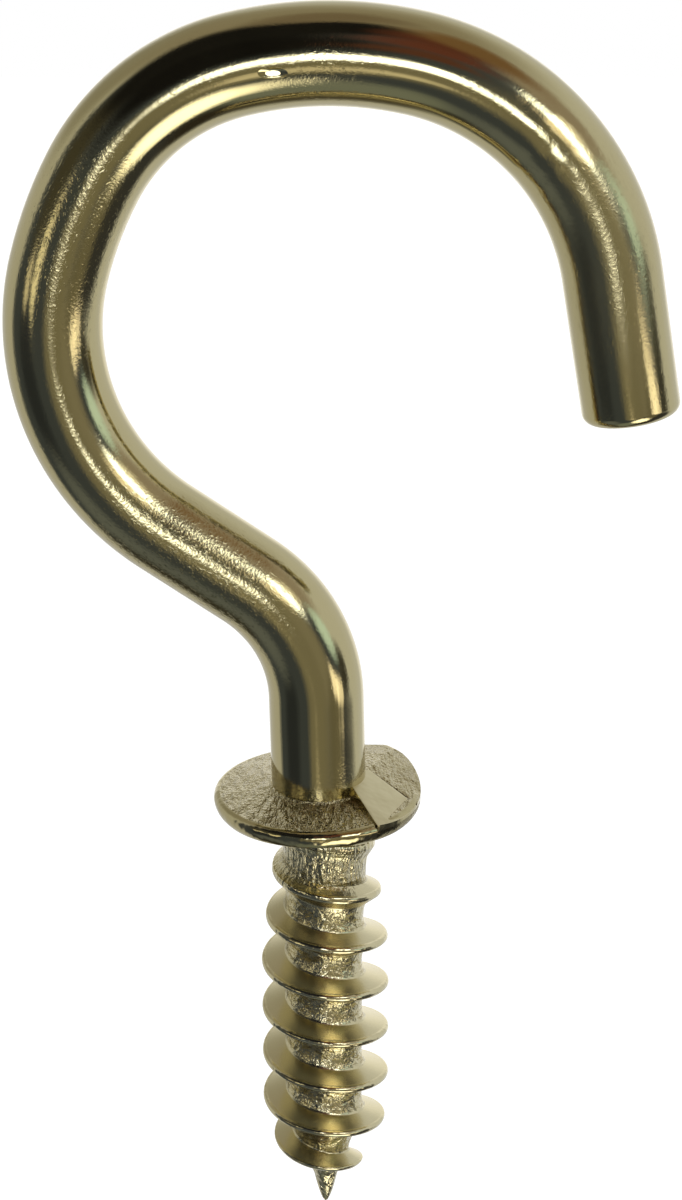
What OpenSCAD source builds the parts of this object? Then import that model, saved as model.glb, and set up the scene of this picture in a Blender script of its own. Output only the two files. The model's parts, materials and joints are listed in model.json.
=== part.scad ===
// Shouldered cup hook: one length of round wire, bent to an open hook, with a collar
// upset in it and a coarse wood-screw thread rolled on its lower end.
// The origin is where the screw's axis meets the collar's underside, which bears on the wood.
// +Z runs up the shank, +X to the hook's open side and +Y to the back.

/* [Wire] */
// Diameter of the round wire
wire_d = 3.5; // [2.5:0.1:4]
// Offset of the shank from the screw's axis, away from the open side
shank_offset = 0.2; // [0:0.02:0.5]
// Lean of the shank away from the open side, in degrees
shank_lean = 1.44; // [0:0.02:6]
// Straight length from the seat to the neck's bend
shank_length = 4.46; // [2:0.02:10]
// Rounding of the wire's cut end
end_round = 0.4; // [0.1:0.05:0.9]
// How much less the wire's radius is in a bend
bend_thinning = 0.01; // [0.005:0.005:0.03]
// Straight land of full wire between two bends
land_length = 0.2; // [0.1:0.05:0.3]

/* [Hook bends] */
// Radius of the neck's bend, at the middle of the wire
neck_r = 5.53; // [3:0.01:9]
// Turn of the neck, in degrees
neck_turn = 54.4; // [20:0.1:75]
// Straight length between the neck and the heel
neck_length = 3.6; // [0.5:0.05:8]
// Radius of the heel, at the lower back of the hook
heel_r = 8.55; // [4:0.05:15]
// Turn of the heel, in degrees
heel_turn = 71.1; // [40:0.1:90]
// Radius of the long, flatter back
back_r = 14.28; // [8:0.02:25]
// Turn of the back, in degrees
back_turn = 13.7; // [5:0.1:30]
// Radius of the shoulder, between the back and the crown
shoulder_r = 7.62; // [4:0.02:15]
// Turn of the shoulder, in degrees
shoulder_turn = 47.7; // [30:0.1:65]
// Radius of the flatter crown
crown_r = 13.7; // [8:0.05:25]
// Turn of the crown, in degrees
crown_turn = 25.8; // [10:0.1:40]
// Radius of the nose, where the hook turns down
nose_r = 8.91; // [4:0.01:15]
// Turn of the nose, in degrees
nose_turn = 67.6; // [40:0.1:80]
// Straight tail, from the nose to the cut end
tail_length = 5.15; // [1.5:0.05:10]

/* [Collar] */
// Diameter of the collar
collar_d = 7.7; // [6.4:0.1:12]
// Offset of the collar from the screw's axis, away from the open side
collar_offset = 0.28; // [0:0.02:0.4]
// Height of the collar at the shank
collar_h = 0.92; // [0.85:0.01:1.1]
// Height of the collar's rim
rim_h = 0.76; // [0.6:0.01:0.8]
// Height below which the rim draws in towards the seat
rim_under_h = 0.28; // [0.2:0.01:0.28]
// Rounding of the rim's upper edge
rim_round = 0.22; // [0.05:0.01:0.3]
// Tilt of the collar's upper side down to the front, in degrees
collar_tilt = 2.8; // [0:0.1:4]
// Height of the raised lobe that the parted dies leave on the open side
lobe_h = 1.4; // [1.4:0.05:1.8]
// Height of the raised lobe's rim at the back
lobe_rim_h = 1.38; // [1.1:0.02:1.38]
// Rounding of the raised lobe's rim
lobe_round = 0.3; // [0.05:0.01:0.5]
// Slope of the lobe down to the front, in degrees
lobe_slope = 8; // [2:0.5:15]
// Fall of the lobe out to its rim, in degrees
lobe_fall = 16.5; // [5:0.5:22]

/* [Screw] */
// Length of the screw, from the seat to its point
screw_length = 16.9; // [12:0.1:30]
// Diameter over the thread's crest
thread_d = 4.85; // [4.2:0.05:6]
// Diameter of the core between the ridges
core_d = 2.8; // [2.4:0.05:3.2]
// Diameter of the root just under the collar, where the thread starts
root_d = 3.3; // [3.1:0.05:3.7]
// Height of one turn of the thread, from one ridge to the next
turn_h = 1.935; // [1.2:0.005:2.4]
// Hand of the thread
thread_hand = "left"; // [left, right]
// Where the ridge starts round the screw, in degrees from the open side
thread_start = 265; // [0:1:359]
// Turns over which the ridge grows to its full depth
lead_in_turns = 2.9; // [0.5:0.1:4]
// Length over which the ridge narrows to the point
point_length = 5.1; // [2.5:0.1:6]
// Bare tip below the ridge's end
tip_length = 1.3; // [0.3:0.05:1.5]
// Length of the core's cone, which ends in the point
cone_length = 4; // [1:0.1:5]
// Fillet between the seat and the root
seat_fillet = 0.45; // [0.1:0.05:0.5]

/* [Hidden] */

// Sides of a round surface, and of one turn of the thread
$fn = 64;
turn_sides = 32;
// Steps of a rounded edge
round_steps = 5;
// How far the screw and the shank are sunk in the collar, as shares of its height
screw_sink_share = 0.25;
shank_sink_share = 0.5;

// The ridge in one turn, as shares of the turn's height from the middle of the groove down:
// end of the groove, top, middle and bottom of the crest, start of the next groove.
groove_share = 0.25;
upper_flank_share = 0.11;
crest_share = 0.25;
lower_flank_share = 0.26;
crest_top_share = groove_share + upper_flank_share;
profile_shares = [
    0,
    groove_share,
    crest_top_share,
    crest_top_share + crest_share / 2,
    crest_top_share + crest_share,
    crest_top_share + crest_share + lower_flank_share
];
profile_rows = len(profile_shares);
// How far each of these stands out, as a share of the ridge's full height
crest_edge_share = 0.9;
rise_shares = [0, 0, crest_edge_share, 1, crest_edge_share, 0];
// Height of the ridge where it starts, as a share of its full height
ridge_start_share = 0.18;
// Nearest that a row of the thread comes to the fillet and to the point, in turns
row_gap_turns = 0.03;

// Plan of the raised lobe, as shares of the collar's radius from its middle
lobe_plan_shares = [
    [0, 0], [0.34, -0.3], [0.54, -0.76], [0.7, -1.1],
    [1.1, -1.1], [1.1, 0.7], [0.82, 0.66], [0.45, 0.66]
];

wire_r = wire_d / 2;
collar_r = collar_d / 2;
root_r = root_d / 2;
core_r = core_d / 2;
thread_r = thread_d / 2;
screw_turns = screw_length / turn_h;
first_turn = seat_fillet / turn_h + row_gap_turns;
last_turn = screw_turns - row_gap_turns;
hand = thread_hand == "left" ? 1 : -1;

// Bends in order from the shank: straight run before it, radius, and turn to the open side
wire_bends = [
    [shank_length - shank_sink_share * collar_h, neck_r, -neck_turn],
    [neck_length, heel_r, heel_turn],
    [0, back_r, back_turn],
    [0, shoulder_r, shoulder_turn],
    [0, crown_r, crown_turn],
    [0, nose_r, nose_turn]
];

// Quarter round from the top of a rim down its side, as points of a revolved profile
function rim_arc(rim_r, top, radius, from) = [
    for (step = [0:round_steps])
        let (angle = from - 90 * step / round_steps)
        [rim_r - radius + radius * cos(angle), top + radius * sin(angle)]
];

// Bend of the wire, from the origin up, to the open side for a positive turn.
// It is drawn a little thinner, and both its ends stop inside the full wire of a land.
module wire_bend(radius, turn) {
    gap = atan(land_length / 4 / radius);
    mirror([turn > 0 ? 1 : 0, 0, 0])
        translate([-radius, 0, 0])
            rotate([90, 0, 0])
                rotate_extrude(angle = abs(turn) - 2 * gap, start = gap)
                    translate([radius, 0])
                        circle(r = wire_r - bend_thinning);
}

// Straight wire, with half a land more before it
module wire_run(run) {
    translate([0, 0, -land_length / 2])
        cylinder(r = wire_r, h = run + land_length / 2);
}

// Straight tail with the edge of its cut end rounded over
module wire_tail() {
    difference() {
        wire_run(tail_length);
        rotate_extrude()
            polygon(concat(
                rim_arc(wire_r, tail_length - end_round, end_round, 90),
                [[wire_d, tail_length - end_round], [wire_d, tail_length + wire_r],
                 [wire_r - end_round, tail_length + wire_r]]
            ));
    }
}

// The wire from one bend to its end, each bend carried on from the last
module wire_from(bend = 0) {
    if (bend == len(wire_bends)) {
        wire_tail();
    } else {
        run = wire_bends[bend][0];
        radius = wire_bends[bend][1];
        turn = wire_bends[bend][2];
        centre = radius * sign(turn);
        wire_run(run + land_length / 2);
        translate([0, 0, run]) {
            wire_bend(radius, turn);
            translate([centre, 0, 0])
                rotate([0, turn, 0])
                    translate([-centre, 0, 0])
                        wire_from(bend + 1);
        }
    }
}

// Low cone with a rim rounded above and drawn in below, the form of the collar and its lobe.
// It runs on below the seat, to be tilted and then cut flat.
module collar_disc(height, edge_h, radius) {
    rotate_extrude()
        polygon(concat(
            [[0, -collar_h], [0, height], [wire_r, height]],
            rim_arc(collar_r, edge_h - radius, radius, 90),
            [[collar_r, rim_under_h], [collar_r - rim_under_h - collar_h, -collar_h]]
        ));
}

// Lobe that stands up on the open side and falls to the front and to its rim
module lobe() {
    difference() {
        intersection() {
            collar_disc(lobe_h, lobe_rim_h, lobe_round);
            translate([0, 0, -collar_h])
                linear_extrude(height = collar_h + lobe_h)
                    polygon(lobe_plan_shares * collar_r);
        }
        translate([wire_r, 0, lobe_h])
            rotate([lobe_slope, lobe_fall, 0])
                translate([-collar_d, -collar_d, 0])
                    cube([2 * collar_d, 2 * collar_d, collar_d]);
    }
}

// Collar upset in the wire, cut flat where it bears on the wood
module collar() {
    difference() {
        rotate([collar_tilt, 0, 0]) {
            collar_disc(collar_h, rim_h, rim_round);
            lobe();
        }
        translate([-collar_d, -collar_d, -collar_d])
            cube([2 * collar_d, 2 * collar_d, collar_d]);
    }
}

// Place of a row of the thread in turns below the seat, on one side of the screw
function row_turn(side, row) =
    let (pitch = floor(row / profile_rows))
    pitch + profile_shares[row - pitch * profile_rows] + side / turn_sides;

// Radius of the groove and of the crest at a number of turns below the seat
function lead_in(turn) = min(1, turn / lead_in_turns);
function above_point(turn) = screw_length - turn * turn_h;
function groove_radius(turn) =
    (root_r + (core_r - root_r) * lead_in(turn)) * min(1, above_point(turn) / cone_length);
function ridge_share(turn) = ridge_start_share + (1 - ridge_start_share) * lead_in(turn);
function point_share(turn) =
    sin(acos(1 - max(0, min(1, (above_point(turn) - tip_length) / (point_length - tip_length)))));
function crest_radius(turn) = (root_r + (thread_r - root_r) * ridge_share(turn)) * point_share(turn);

function row_radius(turn, row) =
    let (rise = rise_shares[row - profile_rows * floor(row / profile_rows)])
    groove_radius(turn) + rise * max(0, crest_radius(turn) - groove_radius(turn));

function side_angle(side) = thread_start + hand * 360 * side / turn_sides;
function screw_point(radius, side, z) =
    [radius * cos(side_angle(side)), radius * sin(side_angle(side)), z];

// Faces look outwards for either hand
function outward(face) = hand > 0 ? face : [for (i = [len(face) - 1:-1:0]) face[i]];

// Root, thread and point in one closed skin. Each side of the screw has a column of points
// where the helical rows cross it, between two rings at the fillet and the point itself.
module screw() {
    sides = [0:turn_sides - 1];
    all_rows = [-profile_rows:profile_rows * ceil(screw_turns)];
    columns = [
        for (side = sides)
            [for (row = all_rows)
                let (turn = row_turn(side, row))
                if (turn > first_turn && turn < last_turn) row]
    ];
    starts = [
        for (side = 0, start = 2 * turn_sides; side < turn_sides;
             start = start + len(columns[side]), side = side + 1)
            start
    ];
    point = starts[turn_sides - 1] + len(columns[turn_sides - 1]);
    sink = screw_sink_share * collar_h;

    // Past the last side the rows carry on one pitch further down the first
    first_row = [for (side = sides) columns[side][0], columns[0][0] - profile_rows];
    last_row = [
        for (side = sides) columns[side][len(columns[side]) - 1],
        columns[0][len(columns[0]) - 1] - profile_rows
    ];
    function at(side, row) =
        side == turn_sides ? at(0, row + profile_rows) : starts[side] + row - columns[side][0];
    function sunk(side) = side % turn_sides;
    function root(side) = turn_sides + side % turn_sides;

    points = concat(
        [for (side = sides) screw_point(root_r + seat_fillet + sink, side, sink)],
        [for (side = sides) screw_point(root_r, side, -seat_fillet)],
        [for (side = sides) for (row = columns[side])
            let (turn = row_turn(side, row))
            screw_point(row_radius(turn, row), side, -turn * turn_h)],
        [[0, 0, -screw_length]]
    );
    faces = concat(
        [[for (side = [turn_sides - 1:-1:0]) sunk(side)]],
        [for (side = sides) each [
            [sunk(side), sunk(side + 1), root(side + 1)],
            [sunk(side), root(side + 1), root(side)],
            [root(side), root(side + 1), at(side + 1, first_row[side + 1])],
            [root(side), at(side + 1, first_row[side + 1]), at(side, first_row[side])],
            [at(side, last_row[side]), at(side + 1, last_row[side + 1]), point]
        ]],
        [for (side = sides) if (first_row[side + 1] < first_row[side])
            [at(side, first_row[side]), at(side + 1, first_row[side + 1]),
             at(side + 1, first_row[side])]],
        [for (side = sides) if (last_row[side + 1] < last_row[side])
            [at(side, last_row[side + 1]), at(side + 1, last_row[side + 1]),
             at(side, last_row[side])]],
        [for (side = sides) for (row = [first_row[side]:last_row[side + 1] - 1]) each [
            [at(side, row), at(side + 1, row), at(side + 1, row + 1)],
            [at(side, row), at(side + 1, row + 1), at(side, row + 1)]
        ]]
    );
    polyhedron(points = points, faces = [for (face = faces) outward(face)]);
}

module cup_hook() {
    color("#b8a868") {
        translate([-collar_offset, 0, 0])
            collar();
        translate([-shank_offset, 0, 0])
            rotate([0, -shank_lean, 0])
                translate([0, 0, shank_sink_share * collar_h])
                    wire_from();
        screw();
    }
}

cup_hook();
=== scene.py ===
"""Looks of a brass-plated cup hook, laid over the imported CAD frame. All lengths are in metres."""

import json
import math
from functools import partial

import bmesh
import bpy
from bpy.props import FloatProperty, FloatVectorProperty, IntProperty, PointerProperty
from mathutils import Matrix, Vector


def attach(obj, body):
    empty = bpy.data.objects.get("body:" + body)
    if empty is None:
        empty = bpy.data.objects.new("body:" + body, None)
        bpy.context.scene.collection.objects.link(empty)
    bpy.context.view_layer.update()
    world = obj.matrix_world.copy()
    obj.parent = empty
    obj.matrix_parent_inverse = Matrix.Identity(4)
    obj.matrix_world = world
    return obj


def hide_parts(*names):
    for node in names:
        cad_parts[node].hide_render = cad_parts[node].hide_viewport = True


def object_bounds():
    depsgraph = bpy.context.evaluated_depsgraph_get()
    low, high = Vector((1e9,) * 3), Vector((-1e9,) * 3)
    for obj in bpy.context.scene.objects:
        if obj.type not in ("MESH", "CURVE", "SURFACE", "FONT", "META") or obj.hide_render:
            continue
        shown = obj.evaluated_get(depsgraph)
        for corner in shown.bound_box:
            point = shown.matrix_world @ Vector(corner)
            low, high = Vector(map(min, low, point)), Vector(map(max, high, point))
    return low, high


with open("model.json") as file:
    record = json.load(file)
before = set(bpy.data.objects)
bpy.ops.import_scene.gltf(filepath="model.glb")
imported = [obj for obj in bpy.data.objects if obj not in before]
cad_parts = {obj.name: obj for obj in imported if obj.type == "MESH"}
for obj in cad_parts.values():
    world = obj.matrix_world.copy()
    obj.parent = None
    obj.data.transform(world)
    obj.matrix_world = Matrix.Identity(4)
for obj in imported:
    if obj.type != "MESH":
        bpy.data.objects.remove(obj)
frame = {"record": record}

bl_info = {
    "name": "Cup Hook",
    "version": (1, 0, 0),
    "blender": (4, 5, 0),
    "location": "3D View > Sidebar > Cup Hook",
    "description": "Builds a brass-plated cup hook with its collar, its screw and a plain studio",
    "category": "Object",
}

CAD_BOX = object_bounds()
NODE = "cup_hook"
MM = 0.001
# Points closer than the first are one point, and points within the second lie on a line
MERGE = 1e-7
NEAR = 10 * MERGE


def linear(hex_colour):
    """Linear red, green and blue of an sRGB hex value."""
    channels = [int(hex_colour[i : i + 2], 16) / 255 for i in (1, 3, 5)]
    return tuple(c / 12.92 if c <= 0.04045 else ((c + 0.055) / 1.055) ** 2.4 for c in channels)


def screw_mount():
    """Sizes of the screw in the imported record."""
    mounts = frame["record"]["mounts"]
    return next(m["dims"] for m in mounts if m["name"] == "wood_screw")


def length_property(name, description, default):
    """A length in metres."""
    return FloatProperty(
        name=name, description=description, default=default, unit="LENGTH", precision=5
    )


def angle_property(name, description, degrees):
    """An angle, given in degrees and kept in radians."""
    return FloatProperty(
        name=name, description=description, default=math.radians(degrees), unit="ROTATION"
    )


def sides_property(description, default, least):
    """A number of sides."""
    return IntProperty(name="Sides", description=description, default=default, min=least)


def colour_property(name, description, hex_colour):
    """A colour, given as an sRGB hex value and kept linear."""
    return FloatVectorProperty(
        name=name, description=description, size=3, default=linear(hex_colour), subtype="COLOR"
    )


class WireSizes(bpy.types.PropertyGroup):
    """Sizes of the bent wire"""

    diameter: length_property("Diameter", "Diameter of the round wire", 3.5 * MM)
    offset: length_property("Offset", "Offset of the shank from the screw's axis", 0.2 * MM)
    lean: angle_property("Lean", "Lean of the shank", 1.44)
    sink: length_property("Sink", "Height at which the wire starts inside the collar", 0.46 * MM)
    runs: FloatVectorProperty(
        name="Runs",
        description="Straight wire before each bend, then the tail",
        size=7,
        default=(4.0 * MM, 3.6 * MM, 0, 0, 0, 0, 5.15 * MM),
        unit="LENGTH",
    )
    radii: FloatVectorProperty(
        name="Radii",
        description="Radius of each bend: neck, heel, back, shoulder, crown and nose",
        size=6,
        default=(5.53 * MM, 8.55 * MM, 14.28 * MM, 7.62 * MM, 13.7 * MM, 8.91 * MM),
        unit="LENGTH",
    )
    turns: FloatVectorProperty(
        name="Turns",
        description="Turn of each bend, positive to the open side",
        size=6,
        default=tuple(math.radians(a) for a in (-54.4, 71.1, 13.7, 47.7, 25.8, 67.6)),
        unit="ROTATION",
    )
    end_round: length_property("End rounding", "Rounding of the cut end", 0.4 * MM)
    sides: sides_property("Sides of the round wire", 72, 16)
    step: angle_property("Step", "Turn of a bend at each ring", 2)


class CollarSizes(bpy.types.PropertyGroup):
    """Sizes of the collar and of its raised lobe"""

    radius: length_property("Radius", "Radius of the collar", 3.85 * MM)
    offset: length_property("Offset", "Offset of the collar from the screw's axis", 0.28 * MM)
    height: length_property("Height", "Height of the collar at the shank", 0.92 * MM)
    rim_height: length_property("Rim height", "Height of the collar's rim", 0.76 * MM)
    under_height: length_property(
        "Under height", "Height below which the rim draws in", 0.28 * MM
    )
    under_round: length_property("Under rounding", "Rounding of the rim's lower edge", 0.2 * MM)
    shank_fillet: length_property(
        "Shank fillet", "Fillet between the collar and the shank", 0.12 * MM
    )
    rim_round: length_property("Rim rounding", "Rounding of the rim's upper edge", 0.22 * MM)
    tilt: angle_property("Tilt", "Tilt of the collar's upper side down to the front", 2.8)
    lobe_height: length_property(
        "Lobe height", "Height of the raised lobe at the shank", 1.4 * MM
    )
    lobe_rim: length_property(
        "Lobe rim", "Height of the raised lobe's rim at the back", 1.38 * MM
    )
    lobe_round: length_property("Lobe rounding", "Rounding of the raised lobe's rim", 0.3 * MM)
    lobe_slope: angle_property("Lobe slope", "Slope of the lobe down to the front", 8)
    lobe_fall: angle_property("Lobe fall", "Fall of the lobe out to its rim", 16.5)
    edge_round: length_property("Edge rounding", "Rounding of the lobe's cut edges", 0.05 * MM)
    crease_width: length_property("Crease width", "Width of the crease across the lobe", 0.2 * MM)
    crease_depth: length_property("Crease depth", "Depth of the crease across the lobe", 0.1 * MM)
    crease_start: length_property(
        "Crease start", "Where the crease starts, from the collar's middle", 2.2 * MM
    )
    crease_lead_in: length_property(
        "Crease lead-in", "Distance over which the crease deepens", 0.7 * MM
    )
    sides: sides_property("Sides of the round collar", 128, 16)


class ScrewSizes(bpy.types.PropertyGroup):
    """Sizes of the screw's root, thread and point"""

    length: length_property("Length", "From the seat to the point", screw_mount()["length_mm"] * MM)
    radius: length_property("Radius", "Radius over the crest", screw_mount()["r_mm"] * MM)
    core: length_property("Core", "Radius of the core between the ridges", 1.4 * MM)
    root: length_property("Root", "Radius just under the collar", 1.65 * MM)
    pitch: length_property("Pitch", "Distance from one ridge to the next", 1.935 * MM)
    start: angle_property("Start", "Where the ridge starts round the screw", 265)
    lead_in: FloatProperty(
        name="Lead-in",
        description="Turns over which the ridge grows to its full depth",
        default=2.9,
    )
    start_share: FloatProperty(
        name="Start share",
        description="Height of the ridge where it starts, as a share of its full height",
        default=0.05,
        subtype="FACTOR",
    )
    point: length_property("Point", "Length over which the ridge narrows to the point", 5.1 * MM)
    tip: length_property("Tip", "Bare tip below the ridge's end", 1.3 * MM)
    tip_swell: FloatProperty(
        name="Tip swell", description="How much fuller than a cone the bare tip is", default=0.4
    )
    blunt: length_property("Blunt end", "How much the point is blunted", 0.02 * MM)
    cone: length_property("Cone", "Length of the core's cone", 4.0 * MM)
    fillet: length_property("Fillet", "Fillet between the seat and the root", 0.45 * MM)
    sink: length_property("Sink", "How far the root runs up inside the collar", 0.23 * MM)
    sides: sides_property("Steps of one turn of the thread", 72, 12)


class Finish(bpy.types.PropertyGroup):
    """Colours of the brass plate"""

    plate: colour_property("Plate", "Colour of clean plate", "#bcb083")
    dull: colour_property("Dull plate", "Colour where the plate is thin or dulled", "#a2956b")
    # Painted light: a paler copy of the plate colour, so that the thread, the collar's upper side
    # and the lobe's facet look brighter lit
    lit_plate: colour_property(
        "Lit plate", "Paler colour of plate on the thread and on the collar", "#d2c79e"
    )


class Studio(bpy.types.PropertyGroup):
    """Camera and floor"""

    lens: FloatProperty(name="Lens", description="Focal length in millimetres", default=69.75)
    camera_place: FloatVectorProperty(
        name="Camera place",
        description="Where the camera stands",
        size=3,
        default=(0.60 * MM, -80.05 * MM, 34.51 * MM),
        subtype="TRANSLATION",
        unit="LENGTH",
    )
    camera_dip: angle_property("Camera dip", "How far the camera looks down", 18.24)
    floor_drop: length_property("Floor drop", "Depth of the floor below the point", 250 * MM)
    floor_size: length_property("Floor size", "Width of the floor", 6.0)
    floor_colour: colour_property("Floor colour", "Colour of the floor", "#ebebeb")


def add_node(tree, kind, output, inputs=None, **settings):
    """Adds a node with its settings, links or sets its inputs, and gives the output asked for."""
    node = tree.nodes.new("ShaderNode" + kind)
    for name, value in settings.items():
        setattr(node, name, value)
    for name, value in (inputs or {}).items():
        if isinstance(value, bpy.types.NodeSocket):
            tree.links.new(value, node.inputs[name])
        else:
            node.inputs[name].default_value = value
    return node.outputs[output] if output else None


def empty_material(name):
    """A material with no nodes yet, and the function that adds nodes to it."""
    material = bpy.data.materials.new(name)
    material.use_nodes = True
    material.node_tree.nodes.clear()
    return material, partial(add_node, material.node_tree)


def opaque(colour):
    """A colour with full alpha, for a colour socket."""
    return (*colour, 1.0)


def scale_of(size):
    """Scale of a pattern whose features have a size in millimetres."""
    return 1 / (size * MM)


def streaks(add, vector, width, run, detail):
    """Noise that is drawn out along Z, with its width and its run in millimetres."""
    scale = (scale_of(width), scale_of(width), scale_of(run))
    drawn_out = add("Mapping", "Vector", {"Vector": vector, "Scale": scale})
    return add("TexNoise", "Fac", {"Vector": drawn_out, "Scale": 1.0, "Detail": detail})


def marked(add, place, mark, full=0.5):
    """Share of a mark on the wire: 0 at its edge, and 1 from a part of its reach inwards."""
    centre, reach = ([value * MM for value in values] for values in mark)
    offset = add("VectorMath", "Vector", {0: place, 1: centre}, operation="SUBTRACT")
    shares = add("VectorMath", "Vector", {0: offset, 1: reach}, operation="DIVIDE")
    apart = add("VectorMath", "Value", {0: shares}, operation="LENGTH")
    return add("MapRange", "Result", {"Value": apart, "From Min": 1.0, "From Max": full})


def relief(add, *layers):
    """Normal of a bumpy surface, from heights between 0 and 1 and their depths in millimetres."""
    below = {}
    for height, depth in layers:
        inputs = {"Height": height, "Strength": 1.0, "Distance": depth * MM, **below}
        below = {"Normal": add("Bump", "Normal", inputs)}
    return below["Normal"]


def plated(add, clean, dull, dullness, roughness, normal):
    """Surface of brass plate, between its clean and its dull colour."""
    shades = {"Factor": dullness, "A": opaque(clean), "B": opaque(dull)}
    colour = add("Mix", "Result", shades, data_type="RGBA")
    inputs = {"Base Color": colour, "Metallic": 1.0, "Roughness": roughness, "Normal": normal}
    surface = add("BsdfPrincipled", "BSDF", inputs)
    add("OutputMaterial", None, {"Surface": surface})


# Marks on the front of the wire: centre, and reach on each axis, in millimetres
TAIL = ((9.6, -1.7, 20.5), (3.4, 3.0, 5.5))
BACK = ((-8.1, -1.7, 21.5), (3.0, 3.0, 5.0))
HEEL = ((-5.5, -1.7, 8.5), (5.0, 3.0, 5.0))
NOSE = ((7.6, -1.7, 24.0), (2.2, 2.0, 2.2))
NICK = ((-1.65, -1.7, 27.0), (0.5, 0.6, 0.2))
# Heights of the nick's lower and upper edge
NICK_EDGES = (26.8 * MM, 27.2 * MM)


def drawn_wire_plate(finish):
    """Bright brass plate on drawn steel wire.

    The die has left fine lines along the wire. Handling has worn the tail, the back and the
    heel, and other patches faintly, and there a fine grain and small dents glint. The tail is
    the dullest. There is a nick on the crown, and the nose is uneven where it was bent last.
    """
    material, add = empty_material("brass_plate_on_drawn_wire")
    straight = add("Attribute", "Vector", attribute_name="straight_wire")
    place = add("TexCoord", "Object")

    # Die lines 0.15 mm apart and about 5 mm long
    lines = streaks(add, straight, 0.15, 5, 3.0)
    # Faintly worn patches of about 3 mm, then the wear of the tail, the back and the heel
    patches = add("TexNoise", "Fac", {"Vector": straight, "Scale": scale_of(3)})
    faint = {"Value": patches, "From Min": 0.38, "From Max": 0.62, "To Max": 0.35}
    worn = add("MapRange", "Result", faint)
    tail = marked(add, place, TAIL)
    back = marked(add, place, BACK)
    heel = marked(add, place, HEEL)
    for mark, wear in ((tail, 0.5), (back, 0.6), (heel, 1.0)):
        worn = add("Mix", "Result", {"Factor": mark, "A": worn, "B": wear})
    # In them a grain 0.09 mm across, and dents 0.1 mm wide and 0.2 mm long
    specks = add("TexNoise", "Fac", {"Vector": straight, "Scale": scale_of(0.09)})
    grain = add("Math", "Value", {0: specks, 1: worn}, operation="MULTIPLY")
    knocks = streaks(add, straight, 0.1, 0.2, 2.0)
    dents = add("MapRange", "Result", {"Value": knocks, "From Min": 0.57, "From Max": 0.75})
    dented = add("Math", "Value", {0: dents, 1: worn}, operation="MULTIPLY")
    # Slow unevenness 2.5 mm across, and ripples 0.9 mm across on the nose
    waves = add("TexNoise", "Fac", {"Vector": straight, "Scale": scale_of(2.5), "Detail": 1.0})
    swells = add("TexNoise", "Fac", {"Vector": straight, "Scale": scale_of(0.9), "Detail": 1.0})
    nose = marked(add, place, NOSE, 0.3)
    ripples = add("Math", "Value", {0: swells, 1: nose}, operation="MULTIPLY")
    # The nick is 1 mm long and 0.4 mm wide, and deepest along its upper edge
    level = add("SeparateXYZ", "Z", {"Vector": place})
    lower, upper = NICK_EDGES
    edges = {"From Min": lower, "From Max": upper, "To Min": 1.0, "To Max": 0.0}
    scoop = add("MapRange", "Result", {"Value": level, **edges})
    nicked = add("Mix", "Result", {"Factor": marked(add, place, NICK), "A": 1.0, "B": scoop})
    normal = relief(
        add,
        (waves, 0.02),
        (ripples, 0.05),
        (nicked, 0.1),
        (dented, 0.006),
        (grain, 0.008),
        (lines, 0.002),
    )
    gloss = add("MapRange", "Result", {"Value": worn, "To Min": 0.09, "To Max": 0.16})
    roughness = add("Mix", "Result", {"Factor": tail, "A": gloss, "B": 0.2})
    dullness = add("Math", "Value", {0: dented, 1: 0.4}, operation="MULTIPLY")
    plated(add, finish.plate, finish.dull, dullness, roughness, normal)
    return material


def upset_collar_plate(finish):
    """Brass plate on the collar's upper side.

    Upsetting has left wrinkles that run from front to back and a fine grain, so the plate glitters
    and is dull in places. Its pale colour is painted light that makes it look brighter lit.
    """
    material, add = empty_material("brass_plate_on_upset_collar")
    place = add("TexCoord", "Object")
    # Wrinkles 0.25 mm wide that run 0.7 mm from front to back, and a grain 0.12 mm across
    quarter_turn = (math.radians(90), 0, 0)
    turned = add("Mapping", "Vector", {"Vector": place, "Rotation": quarter_turn})
    wrinkles = streaks(add, turned, 0.25, 0.7, 3.0)
    grain = add("TexNoise", "Fac", {"Vector": place, "Scale": scale_of(0.12)})
    # Dull places 0.9 mm across
    mottle = add("TexNoise", "Fac", {"Vector": place, "Scale": scale_of(0.9)})
    normal = relief(add, (wrinkles, 0.28), (grain, 0.06))
    # Painted light: the paler copy of the plate colour, with dull places mixed in
    plated(add, finish.lit_plate, finish.dull, mottle, 0.2, normal)
    return material


def lit_facet_plate(finish):
    """Brass plate on the lobe's front facet, smoothed by the die's press. Its pale colour is
    painted light.
    """
    material, add = empty_material("brass_plate_painted_lit_on_pressed_facet")
    place = add("TexCoord", "Object")
    # Shallow unevenness 0.8 mm across
    waves = add("TexNoise", "Fac", {"Vector": place, "Scale": scale_of(0.8)})
    dullness = add("Math", "Value", {0: waves, 1: 0.5}, operation="MULTIPLY")
    # Painted light: mostly the paler copy of the plate colour, so that the facet looks brightly lit
    plated(add, finish.lit_plate, finish.plate, dullness, 0.32, relief(add, (waves, 0.05)))
    return material


def rolled_rim_plate(finish):
    """Brass plate on the collar's rim, which the die has left bright and a little lumpy."""
    material, add = empty_material("brass_plate_on_rolled_rim")
    place = add("TexCoord", "Object")
    # Lumps 0.7 mm across
    lumps = add("TexNoise", "Fac", {"Vector": place, "Scale": scale_of(0.7)})
    dullness = add("Math", "Value", {0: lumps, 1: 0.5}, operation="MULTIPLY")
    plated(add, finish.plate, finish.dull, dullness, 0.13, relief(add, (lumps, 0.06)))
    return material


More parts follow.
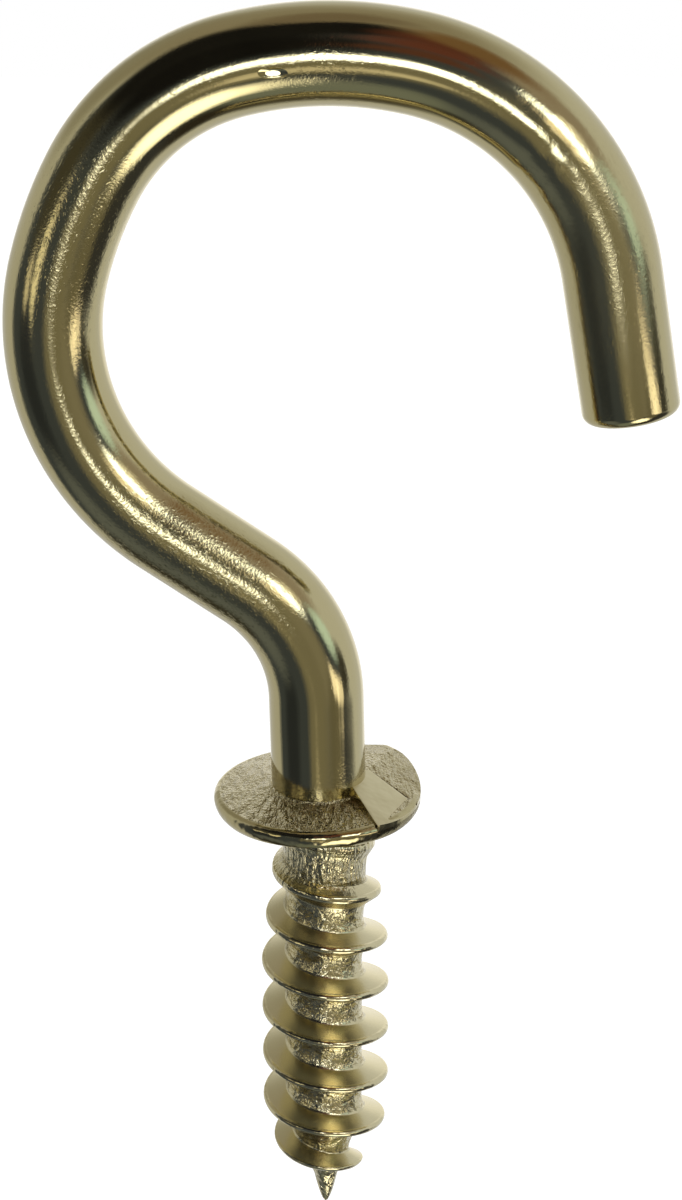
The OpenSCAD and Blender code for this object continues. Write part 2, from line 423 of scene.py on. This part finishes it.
def rolled_thread_plate(finish):
    """Brass plate on the rolled thread.

    The flanks are smooth and half dull, and the crest is brighter and has small nicks. The rolls
    have dimpled the groove between the ridges. The root is wrinkled along the screw where the
    collar was upset.
    """
    material, add = empty_material("brass_plate_on_rolled_thread")
    place = add("TexCoord", "Object")
    ridge = add("Attribute", "Fac", attribute_name="ridge")

    # Dimples 0.4 mm across, in the groove only
    low = {"From Min": 0.03, "From Max": 0.15, "To Min": 1.0, "To Max": 0.0}
    groove = add("MapRange", "Result", {"Value": ridge, **low})
    pits = {"Vector": place, "Scale": scale_of(0.4), "Detail": 3.0, "Roughness": 0.55}
    pitted = add("TexNoise", "Fac", pits)
    dimples = add("Math", "Value", {0: pitted, 1: groove}, operation="MULTIPLY")
    # Nicks 0.5 mm long on the crest
    crest = add("MapRange", "Result", {"Value": ridge, "From Min": 0.85, "From Max": 0.95})
    knocks = add("TexNoise", "Fac", {"Vector": place, "Scale": scale_of(0.5)})
    nicks = add("Math", "Value", {0: knocks, 1: crest}, operation="MULTIPLY")
    # Wrinkles 0.2 mm apart and 0.9 mm long, on the root down to 2.5 mm and fainter on its ridge
    wrinkles = streaks(add, place, 0.2, 0.9, 2.0)
    level = add("SeparateXYZ", "Z", {"Vector": place})
    root_end = {"From Min": -2.9 * MM, "From Max": -2.5 * MM}
    root = add("MapRange", "Result", {"Value": level, **root_end})
    fading = {"From Min": 0.1, "From Max": 0.5, "To Min": 1.0, "To Max": 0.4}
    off_ridge = add("MapRange", "Result", {"Value": ridge, **fading})
    creased = add("Math", "Value", {0: root, 1: off_ridge}, operation="MULTIPLY")
    folds = add("Math", "Value", {0: wrinkles, 1: creased}, operation="MULTIPLY")
    # Duller places 1.2 mm across
    patches = add("TexNoise", "Fac", {"Vector": place, "Scale": scale_of(1.2)})
    mottle = add("Math", "Value", {0: patches, 1: 0.4}, operation="MULTIPLY")
    normal = relief(add, (dimples, 0.13), (nicks, 0.05), (folds, 0.2))
    gloss = add("MapRange", "Result", {"Value": crest, "To Min": 0.27, "To Max": 0.15})
    roughness = add("Mix", "Result", {"Factor": groove, "A": gloss, "B": 0.17})
    # Painted light: the thread is the paler copy of the plate colour, which makes it look brighter
    # lit; the duller places lean back to the plate colour
    plated(add, finish.lit_plate, finish.plate, mottle, roughness, normal)
    return material


def ring_edges(ring):
    """Edges that join the vertices of a ring."""
    members = set(ring)
    joins = (e for v in ring for e in v.link_edges if e.other_vert(v) in members)
    return list(dict.fromkeys(joins))


def chain(bm, points):
    """New vertices at the points, joined in a row by edges."""
    verts = [bm.verts.new(point) for point in points]
    for first, second in zip(verts, verts[1:]):
        bm.edges.new((first, second))
    return verts


def round_edges(bm, edges, rounding, segments, clamp_overlap=False):
    """Rounds edges."""
    bmesh.ops.bevel(
        bm,
        geom=edges,
        offset=rounding,
        offset_type="OFFSET",
        segments=segments,
        profile=0.5,
        affect="EDGES",
        clamp_overlap=clamp_overlap,
        material=-1,
    )


def cut_off(bm, point, outward):
    """Cuts off what lies outside a plane, closes the cut and gives the faces that close it."""
    made = bmesh.ops.bisect_plane(
        bm,
        geom=bm.verts[:] + bm.edges[:] + bm.faces[:],
        dist=MERGE,
        plane_co=point,
        plane_no=outward,
        clear_outer=True,
    )
    edges = [g for g in made["geom_cut"] if isinstance(g, bmesh.types.BMEdge)]
    return bmesh.ops.contextual_create(bm, geom=edges)["faces"]


def finish_piece(bm, name, materials, sharp_angle):
    """Closes a bmesh into a piece that stands for the CAD node."""
    bmesh.ops.recalc_face_normals(bm, faces=bm.faces[:])
    mesh = bpy.data.meshes.new(name)
    bm.to_mesh(mesh)
    bm.free()
    for material in materials:
        mesh.materials.append(material)
    mesh.shade_smooth()
    mesh.set_sharp_from_angle(angle=sharp_angle)
    piece = bpy.data.objects.new(name, mesh)
    bpy.context.scene.collection.objects.link(piece)
    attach(piece, "root")
    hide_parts(NODE)


class CUPHOOK_OT_wire(bpy.types.Operator):
    """Bend the wire from the collar to the cut end of the hook"""

    bl_idname = "cup_hook.wire"
    bl_label = "Bent Wire"

    END_SEGMENTS = 6
    SHARP_ANGLE = math.radians(50)

    def extend(self, bm, ring, laid, advance):
        """Extrudes the last ring of the wire and writes how far along the wire it lies."""
        made = bmesh.ops.extrude_edge_only(bm, edges=ring_edges(ring))["geom"]
        new_ring = [g for g in made if isinstance(g, bmesh.types.BMVert)]
        for vert in new_ring:
            vert[laid].z += advance
        return new_ring

    def execute(self, context):
        sizes = context.scene.cup_hook_wire
        bm = bmesh.new()
        # Where each point would lie on the wire before it was bent
        laid = bm.verts.layers.float_vector.new("straight_wire")
        circle = bmesh.ops.create_circle(bm, segments=sizes.sides, radius=sizes.diameter / 2)
        ring = circle["verts"]
        for vert in ring:
            vert[laid] = vert.co
        bmesh.ops.contextual_create(bm, geom=ring_edges(ring))
        place = (
            Matrix.Translation((-sizes.offset, 0, 0))
            @ Matrix.Rotation(-sizes.lean, 4, "Y")
            @ Matrix.Translation((0, 0, sizes.sink))
        )
        bmesh.ops.transform(bm, matrix=place, verts=ring)

        here = place.translation
        heading = -sizes.lean
        for run, bend_radius, turn in zip(sizes.runs, (*sizes.radii, 0), (*sizes.turns, 0)):
            ahead = Vector((math.sin(heading), 0, math.cos(heading)))
            if run:
                ring = self.extend(bm, ring, laid, run)
                bmesh.ops.translate(bm, verts=ring, vec=ahead * run)
                here = here + ahead * run
            if not turn:
                continue
            inward = Vector((ahead.z, 0, -ahead.x)) * math.copysign(bend_radius, turn)
            centre = here + inward
            steps = math.ceil(abs(turn) / sizes.step)
            swing = Matrix.Rotation(turn / steps, 3, "Y")
            for _ in range(steps):
                ring = self.extend(bm, ring, laid, bend_radius * abs(turn) / steps)
                bmesh.ops.rotate(bm, verts=ring, cent=centre, matrix=swing)
            here = centre + Matrix.Rotation(turn, 3, "Y") @ -inward
            heading += turn

        end_edges = ring_edges(ring)
        bmesh.ops.contextual_create(bm, geom=end_edges)
        round_edges(bm, end_edges, sizes.end_round, self.END_SEGMENTS)
        material = drawn_wire_plate(context.scene.cup_hook_finish)
        finish_piece(bm, "hook_wire", (material,), self.SHARP_ANGLE)
        return {"FINISHED"}


class CUPHOOK_OT_collar(bpy.types.Operator):
    """Upset the collar and the lobe that stands up on its open side"""

    bl_idname = "cup_hook.collar"
    bl_label = "Collar"

    # Places of the materials on the mesh
    GRAIN, FACET, RIM = range(3)
    # How far the shank's fillet stands off at its middle, as a share of its size
    FILLET_MIDDLE = 0.3
    # Feet of the lobe's walls as shares of the collar's radius, and the ways that the walls face
    WALL_FOOT = Vector((0.34, -0.3, 0))
    FRONT_WALL = (-0.915, -0.403, 0)
    BACK_CORNER = Vector((0.45, 0.66, 0))
    BACK_WALLS = ((-0.826, 0.563, 0), (0, 1, 0))
    # A point on the crease, and the way across it to the back
    CREASE_FOOT = Vector((2.55, -0.2, 0)) * MM
    CREASE_BACK = Vector((0.63, 0.777, 0))
    # Edges of the lobe that turn more than this are rounded
    EDGE_ANGLE = math.radians(9)
    EDGE_SEGMENTS = 3
    RIM_SEGMENTS = 5
    SHARP_ANGLE = math.radians(35)

    def disc(self, sizes, shank_radius, height, rim_height, rim_round):
        """Low cone with a rim rounded above and drawn in below, spun from its profile."""
        bm = bmesh.new()
        fillet = sizes.shank_fillet
        middle = self.FILLET_MIDDLE * fillet
        profile = (
            (0, -sizes.height),
            (sizes.radius - sizes.under_height - sizes.height, -sizes.height),
            (sizes.radius, sizes.under_height),
            (sizes.radius, rim_height),
            (shank_radius + fillet, height),
            (shank_radius + middle, height + middle),
            (shank_radius, height + fillet),
            (0, height + fillet),
        )
        chain(bm, [(x, 0, z) for x, z in profile])
        bmesh.ops.spin(
            bm,
            geom=bm.verts[:] + bm.edges[:],
            cent=(0, 0, 0),
            axis=(0, 0, 1),
            angle=math.tau,
            steps=sizes.sides,
            use_merge=True,
        )
        bmesh.ops.remove_doubles(bm, verts=bm.verts[:], dist=MERGE)
        for level, rounding in ((rim_height, rim_round), (sizes.under_height, sizes.under_round)):
            rim = [
                e
                for e in bm.edges
                if all(math.hypot(v.co.x, v.co.y) > sizes.radius - MERGE for v in e.verts)
                and all(abs(v.co.z - level) < MERGE for v in e.verts)
            ]
            round_edges(bm, rim, rounding, self.RIM_SEGMENTS)
        bmesh.ops.recalc_face_normals(bm, faces=bm.faces[:])
        for face in bm.faces:
            centre = face.calc_center_median()
            if math.hypot(centre.x, centre.y) > sizes.radius - rim_round:
                face.material_index = self.RIM
        return bm

    def slope(self, lobe):
        """Faces of the lobe's slope, which the die's press has left smooth."""
        return [f for f in lobe.faces if f.material_index == self.FACET]

    def crease(self, lobe, sizes):
        """Presses a shallow crease across the lobe's slope, and leaves the back of it grainy."""
        foot, backward = self.CREASE_FOOT, self.CREASE_BACK
        for shift in (-0.5, 0, 0.5):
            slope = self.slope(lobe)
            edges = dict.fromkeys(e for f in slope for e in f.edges)
            verts = dict.fromkeys(v for f in slope for v in f.verts)
            bmesh.ops.bisect_plane(
                lobe,
                geom=[*slope, *edges, *verts],
                dist=MERGE,
                plane_co=foot + backward * shift * sizes.crease_width,
                plane_no=backward,
            )
        slope = self.slope(lobe)
        for vert in {v for f in slope for v in f.verts}:
            if abs((vert.co - foot).dot(backward)) < NEAR:
                reached = (vert.co.x - sizes.crease_start) / sizes.crease_lead_in
                vert.co.z -= sizes.crease_depth * min(1, max(0, reached))
        for face in slope:
            if (face.calc_center_median() - foot).dot(backward) > 0:
                face.material_index = self.GRAIN

    def seat(self, bm, sizes):
        """Tilts a form down to the front and cuts it flat where it bears on the wood."""
        tilt = Matrix.Rotation(sizes.tilt, 3, "X")
        bmesh.ops.rotate(bm, verts=bm.verts[:], cent=(0, 0, 0), matrix=tilt)
        cut_off(bm, (0, 0, 0), (0, 0, -1))

    def execute(self, context):
        sizes = context.scene.cup_hook_collar
        shank_radius = context.scene.cup_hook_wire.diameter / 2
        bm = self.disc(sizes, shank_radius, sizes.height, sizes.rim_height, sizes.rim_round)
        lobe = self.disc(sizes, shank_radius, sizes.lobe_height, sizes.lobe_rim, sizes.lobe_round)

        # The lobe's front wall, its two back walls and its slope
        cut_off(lobe, self.WALL_FOOT * sizes.radius, self.FRONT_WALL)
        for outward in self.BACK_WALLS:
            cut_off(lobe, self.BACK_CORNER * sizes.radius, outward)
        fall = Matrix.Rotation(sizes.lobe_fall, 3, "Y")
        upward = (fall @ Matrix.Rotation(sizes.lobe_slope, 3, "X")).col[2]
        for face in cut_off(lobe, (shank_radius, 0, sizes.lobe_height), upward):
            face.material_index = self.FACET
        sharp = [
            e
            for e in lobe.edges
            if e.is_manifold
            and e.calc_face_angle() > self.EDGE_ANGLE
            and max(v.co.z for v in e.verts) > sizes.rim_height
        ]
        round_edges(lobe, sharp, sizes.edge_round, self.EDGE_SEGMENTS, clamp_overlap=True)
        self.crease(lobe, sizes)
        self.seat(bm, sizes)
        self.seat(lobe, sizes)
        lobe_mesh = bpy.data.meshes.new("lobe")
        lobe.to_mesh(lobe_mesh)
        lobe.free()
        bm.from_mesh(lobe_mesh)
        bpy.data.meshes.remove(lobe_mesh)
        bmesh.ops.translate(bm, verts=bm.verts[:], vec=(-sizes.offset, 0, 0))
        finish = context.scene.cup_hook_finish
        plates = (upset_collar_plate(finish), lit_facet_plate(finish), rolled_rim_plate(finish))
        finish_piece(bm, "collar", plates, self.SHARP_ANGLE)
        return {"FINISHED"}


class CUPHOOK_OT_screw(bpy.types.Operator):
    """Roll the thread on the screw, from its root under the collar to its point"""

    bl_idname = "cup_hook.screw"
    bl_label = "Wood Screw"

    SHARP_ANGLE = math.radians(60)
    # One pitch of the thread, from the middle of a groove down to the middle of the next: share
    # of the pitch and share of the ridge's height. The groove is hollow, the crest narrow and
    # rounded, and the upper flank steeper than the lower.
    PROFILE = (
        (0.0, 0.0),
        (0.07, 0.002),
        (0.13, 0.012),
        (0.18, 0.03),
        (0.22, 0.055),
        (0.245, 0.09),
        (0.258, 0.15),
        (0.266, 0.2),
        (0.375, 0.85),
        (0.385, 0.9),
        (0.4, 0.96),
        (0.425, 0.99),
        (0.46, 1.0),
        (0.495, 0.985),
        (0.52, 0.94),
        (0.535, 0.88),
        (0.545, 0.84),
        (0.715, 0.2),
        (0.73, 0.15),
        (0.755, 0.1),
        (0.79, 0.062),
        (0.84, 0.035),
        (0.89, 0.016),
        (0.945, 0.004),
        (1.0, 0.0),
    )

    def radius_at(self, sizes, depth, ridge):
        """Radius of the screw at a depth below the seat, for a share of the ridge's height."""
        turn = max(0, depth / sizes.pitch)
        grown = min(1, turn / sizes.lead_in)
        left = max(0, sizes.length - depth)
        core = (sizes.root + (sizes.core - sizes.root) * grown) * min(1, left / sizes.cone)
        share = sizes.start_share + (1 - sizes.start_share) * grown
        if left < sizes.tip:
            core *= (sizes.tip / max(left, MERGE)) ** sizes.tip_swell
        narrowed = min(1, max(0, (left - sizes.tip) / (sizes.point - sizes.tip)))
        crest = sizes.root + (sizes.radius - sizes.root) * share
        crest = max(core, crest * math.sqrt(1 - (1 - narrowed) ** 2))
        flare = sizes.root + sizes.fillet - depth if depth < sizes.fillet else 0
        return max(core + (crest - core) * ridge, flare)

    def execute(self, context):
        sizes = context.scene.cup_hook_screw
        bm = bmesh.new()
        ridge = bm.verts.layers.float.new("ridge")
        points = [(sizes.core, 0, (1 - down) * sizes.pitch) for down, _ in self.PROFILE]
        verts = chain(bm, points)
        for vert, (_, height) in zip(verts, self.PROFILE):
            vert[ridge] = height
        start = Matrix.Rotation(sizes.start, 3, "Z")
        bmesh.ops.rotate(bm, verts=verts, cent=(0, 0, 0), matrix=start)
        # Whole turns that run past the seat and past the point, and are cut there
        turns = math.ceil(sizes.length / sizes.pitch) + 1
        bmesh.ops.spin(
            bm,
            geom=bm.verts[:] + bm.edges[:],
            cent=(0, 0, 0),
            axis=(0, 0, 1),
            dvec=(0, 0, -sizes.pitch / sizes.sides),
            angle=math.tau * turns,
            steps=sizes.sides * turns,
        )
        bmesh.ops.remove_doubles(bm, verts=bm.verts[:], dist=NEAR)
        cut_off(bm, (0, 0, sizes.sink), (0, 0, 1))
        cut_off(bm, (0, 0, sizes.blunt - sizes.length), (0, 0, -1))
        for vert in bm.verts:
            radius = self.radius_at(sizes, -vert.co.z, vert[ridge])
            grow = radius / math.hypot(vert.co.x, vert.co.y)
            vert.co.x *= grow
            vert.co.y *= grow
        material = rolled_thread_plate(context.scene.cup_hook_finish)
        finish_piece(bm, "screw", (material,), self.SHARP_ANGLE)
        return {"FINISHED"}


class CUPHOOK_OT_stage(bpy.types.Operator):
    """Set the camera, the pale floor and the light round the hook"""

    bl_idname = "cup_hook.stage"
    bl_label = "Plain Studio"

    SENSOR_WIDTH_MM = 36
    NEAR_CLIP = 1 * MM
    WHITE = (1.0, 1.0, 1.0, 1.0)
    # Light from all round on what isn't a mirror
    SOFT_LIGHT = (0.8, 0.8, 0.8, 1.0)
    # What the camera sees the floor brighter by
    FLOOR_GLOW = (0.45, 0.45, 0.45, 1.0)
    # Pale walls to the left and to the right, and how far to each side they blend
    WALLS = ("#d4d6d8", "#e6eaf2")
    WALL_BLEND = 0.6
    # What the metal mirrors in front of the walls: azimuth from the camera to the right,
    # elevation, reach and softness in degrees, then colour and strength
    SURROUNDINGS = {
        "left wall, high": (-128, 44, 24, 12, "#a8a69e", 1.0),
        "backdrop": (178, -4, 22, 14, "#ffffff", 1.25),
        "backdrop, right": (158, -12, 12, 10, "#ffffff", 1.15),
        "overhead": (160, 90, 34, 22, "#a8a298", 1.0),
        "front room": (-10, -12, 84, 6, "#505866", 0.9),
        "floor behind": (180, -82, 16, 8, "#5c584c", 1.0),
        "floor": (5, -76, 18, 9, "#8c9595", 1.0),
        "left skirting": (-98, -64, 11, 8, "#3e3c34", 1.0),
        "right skirting": (96, -66, 14, 8, "#3a3630", 1.0),
        "right reveal": (62, 36, 18, 8, "#b4aaa4", 1.0),
        "left shade": (-60, -20, 14, 8, "#3c424e", 0.8),
        "left floor": (-60, -50, 12, 10, "#767e88", 1.0),
        "left wall": (-60, 22, 16, 10, "#4c4a40", 1.0),
        "dark ceiling": (-38, 52, 27, 8, "#16171b", 1.0),
        "dark lintel": (2, 64, 14, 6, "#16171b", 1.0),
        "dark door": (-16, 27, 19, 6, "#0c0d12", 1.0),
        "curtain, foot": (10, 24, 6, 4, "#6a4438", 1.0),
        "curtain": (19, 40, 9, 5, "#74443a", 1.0),
        "curtain, top": (33, 53, 10, 6, "#6e4034", 1.0),
        "curtain rail": (58, 58, 13, 7, "#8c6e50", 1.0),
        "zenith": (0, 90, 11, 7, "#8c8073", 1.0),
        "right floor": (82, -38, 21, 7, "#44464c", 1.0),
        "right post": (80, -6, 9, 5, "#4a4a48", 1.0),
        "right wall": (28, -5, 16, 9, "#9a9688", 1.0),
        "right wall, left": (4, -18, 18, 8, "#928e7e", 1.0),
        "right wall, foot": (48, -25, 12, 8, "#807c6c", 1.0),
        "high window": (39, 20, 8, 4, "#e8f0ff", 6.0),
        "high window, left": (29, 14, 4, 4, "#fff4e4", 1.8),
        "high window, right": (51, 25, 4, 4, "#f4f0ea", 1.5),
        "side window": (66, 9, 9, 5, "#d0ecf6", 1.4),
        "sill, left": (50, -11, 4, 3, "#fff6ea", 2.0),
        "sill": (58, -13, 4, 3, "#fff6ea", 2.4),
        "sill, right": (66, -14, 4, 3, "#fff6ea", 1.6),
        "low window": (32, -50, 14, 7, "#fffdf6", 3.4),
        "lamp": (1, -2, 6, 3, "#eaf0ff", 6.0),
        "lamp foot": (0, -28, 4, 3, "#f4ecd8", 1.1),
        "far lamp": (-44, -1, 6, 4, "#fff8e0", 1.45),
        "far lamp's twin": (-62, -1, 4, 3, "#f4ecd8", 1.2),
    }

    def toward(self, azimuth, elevation):
        """Direction from the hook, with azimuth 0 to the camera and 90 to the right."""
        a, e = math.radians(azimuth), math.radians(elevation)
        return (math.sin(a) * math.cos(e), -math.cos(a) * math.cos(e), math.sin(e))

    def light(self, scene):
        """A white world for the camera, and a room with windows for what the metal mirrors."""
        world = bpy.data.worlds.new("studio")
        scene.world = world
        world.use_nodes = True
        world.node_tree.nodes.clear()
        add = partial(add_node, world.node_tree)
        direction = add("TexCoord", "Generated")

        left, right = (opaque(linear(tint)) for tint in self.WALLS)
        sideways = add("VectorMath", "Value", {0: direction, 1: (1, 0, 0)}, operation="DOT_PRODUCT")
        ends = {"From Min": -self.WALL_BLEND, "From Max": self.WALL_BLEND}
        share = add("MapRange", "Result", {"Value": sideways, **ends})
        colour = add("Mix", "Result", {"Factor": share, "A": left, "B": right}, data_type="RGBA")
        for name, region in self.SURROUNDINGS.items():
            azimuth, elevation, reach, soft, tint, strength = region
            middle = self.toward(azimuth, elevation)
            cosine = add(
                "VectorMath", "Value", {0: direction, 1: middle}, operation="DOT_PRODUCT"
            )
            ends = {
                "From Min": math.cos(math.radians(reach + soft)),
                "From Max": math.cos(math.radians(max(0, reach - soft))),
            }
            share = add(
                "MapRange", "Result", {"Value": cosine, **ends}, interpolation_type="SMOOTHSTEP"
            )
            shown = opaque(c * strength for c in linear(tint))
            layers = {"Factor": share, "A": colour, "B": shown}
            colour = add("Mix", "Result", layers, data_type="RGBA", label=name)

        mirrored = add("LightPath", "Is Glossy Ray")
        lit = {"Factor": mirrored, "A": self.SOFT_LIGHT, "B": colour}
        room = add("Mix", "Result", lit, data_type="RGBA")
        direct = add("LightPath", "Is Camera Ray")
        views = {"Factor": direct, "A": room, "B": self.WHITE}
        seen = add("Mix", "Result", views, data_type="RGBA")
        background = add("Background", "Background", {"Color": seen, "Strength": 1.0})
        add("OutputWorld", None, {"Surface": background})

    def floor_finish(self, colour):
        """Matt white board. The camera sees it a little brighter, so that it meets the white."""
        material, add = empty_material("matt_white_board")
        matt = add("BsdfDiffuse", "BSDF", {"Color": opaque(colour)})
        direct = add("LightPath", "Is Camera Ray")
        glow = add("Emission", "Emission", {"Color": self.FLOOR_GLOW, "Strength": direct})
        both = add("AddShader", "Shader", {0: matt, 1: glow})
        add("OutputMaterial", None, {"Surface": both})
        return material

    def execute(self, context):
        scene = context.scene
        sizes = scene.cup_hook_studio
        scene.view_settings.view_transform = "Standard"

        data = bpy.data.cameras.new("camera")
        data.lens = sizes.lens
        data.sensor_width = self.SENSOR_WIDTH_MM
        data.clip_start = self.NEAR_CLIP
        camera = bpy.data.objects.new("camera", data)
        camera.location = sizes.camera_place
        camera.rotation_euler = (math.radians(90) - sizes.camera_dip, 0, 0)
        scene.collection.objects.link(camera)
        scene.camera = camera

        mesh = bpy.data.meshes.new("floor")
        bm = bmesh.new()
        bmesh.ops.create_grid(bm, x_segments=1, y_segments=1, size=sizes.floor_size / 2)
        drop = (0, 0, CAD_BOX[0].z - sizes.floor_drop)
        bmesh.ops.translate(bm, verts=bm.verts[:], vec=drop)
        bm.to_mesh(mesh)
        bm.free()
        mesh.materials.append(self.floor_finish(sizes.floor_colour))
        floor = bpy.data.objects.new("floor", mesh)
        scene.collection.objects.link(floor)
        floor.visible_glossy = False

        self.light(scene)
        return {"FINISHED"}


class CUPHOOK_PT_panel(bpy.types.Panel):
    """Pieces of the cup hook"""

    bl_idname = "CUPHOOK_PT_panel"
    bl_label = "Cup Hook"
    bl_space_type = "VIEW_3D"
    bl_region_type = "UI"
    bl_category = "Cup Hook"

    def draw(self, context):
        for operator in OPERATORS:
            self.layout.operator(operator.bl_idname)
        for name in GROUPS:
            box = self.layout.box()
            group = getattr(context.scene, name)
            for key in group.bl_rna.properties.keys():
                if key not in ("rna_type", "name"):
                    box.prop(group, key)


GROUPS = {
    "cup_hook_wire": WireSizes,
    "cup_hook_collar": CollarSizes,
    "cup_hook_screw": ScrewSizes,
    "cup_hook_finish": Finish,
    "cup_hook_studio": Studio,
}
OPERATORS = (CUPHOOK_OT_wire, CUPHOOK_OT_collar, CUPHOOK_OT_screw, CUPHOOK_OT_stage)


def register():
    for group in GROUPS.values():
        bpy.utils.register_class(group)
    for name, group in GROUPS.items():
        setattr(bpy.types.Scene, name, PointerProperty(type=group))
    for cls in (*OPERATORS, CUPHOOK_PT_panel):
        bpy.utils.register_class(cls)


def unregister():
    for cls in (CUPHOOK_PT_panel, *reversed(OPERATORS)):
        bpy.utils.unregister_class(cls)
    for name, group in reversed(GROUPS.items()):
        delattr(bpy.types.Scene, name)
        bpy.utils.unregister_class(group)


def main():
    register()
    bpy.ops.cup_hook.wire()
    bpy.ops.cup_hook.collar()
    bpy.ops.cup_hook.screw()
    bpy.ops.cup_hook.stage()


if __name__ == "__main__":
    main()
